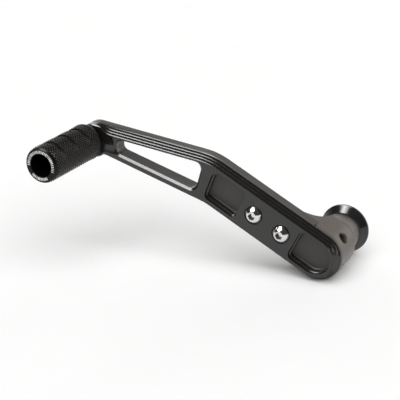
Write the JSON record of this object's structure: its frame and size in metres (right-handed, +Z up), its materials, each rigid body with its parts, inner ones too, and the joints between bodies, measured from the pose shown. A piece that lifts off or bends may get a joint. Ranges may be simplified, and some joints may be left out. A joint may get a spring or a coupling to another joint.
{
  "type": "motorcycle gear shift lever",
  "caption": "Motorcycle gear shift lever: a machined black arm with a long window and stepped pockets, a knurled toe peg, and a bushed hub that turns on a fixed post with a black flange.",
  "frame": {"origin": "on the pivot axis, at the back face of the pivot post and its flange, which is the mouth of the post's threaded hole and bolts against the motorcycle", "axes": "+Z is up, +Y runs along the pivot axis towards the motorcycle, so -Y points outwards to the rider's foot, and +X points away from the toe peg"},
  "size_m": [0.1712, 0.099, 0.0718],
  "materials": {
    "black_anodised": "fine matt black anodised over machined faces",
    "grey_anodised": "satin grey-brown anodised",
    "peg_black": "black anodised, knurled",
    "bare_aluminium": "freshly machined, bare",
    "flange_black": "glossy black anodised, turned",
    "bright_screw": "bright plated",
    "dark_screw": "black oxide",
    "plain_steel": "plain ground steel",
    "bronze": "sintered bronze",
    "seal_rubber": "matt black rubber"
  },
  "bodies": {
    "pivot": {"pivot_post": "plain_steel", "pivot_flange": "flange_black", "retaining_washer": "plain_steel", "retaining_screw": "dark_screw", "front_thrust_washer": "plain_steel", "rear_thrust_washer": "plain_steel"},
    "lever": {"lever_arm": "black_anodised", "pivot_hub": "grey_anodised", "arm_screw_inner": "bright_screw", "arm_screw_outer": "bright_screw", "toe_peg": "peg_black", "peg_screw": "dark_screw", "peg_washer": "plain_steel", "front_bush": "bronze", "rear_bush": "bronze", "hub_seal": "seal_rubber"}
  },
  "joints": [
    {"name": "lever_pivot", "type": "hinge", "parent": "pivot", "child": "lever", "pos_m": [0, 0, 0], "axis": [0, 1, 0], "range_deg": [-10, 10]}
  ]
}
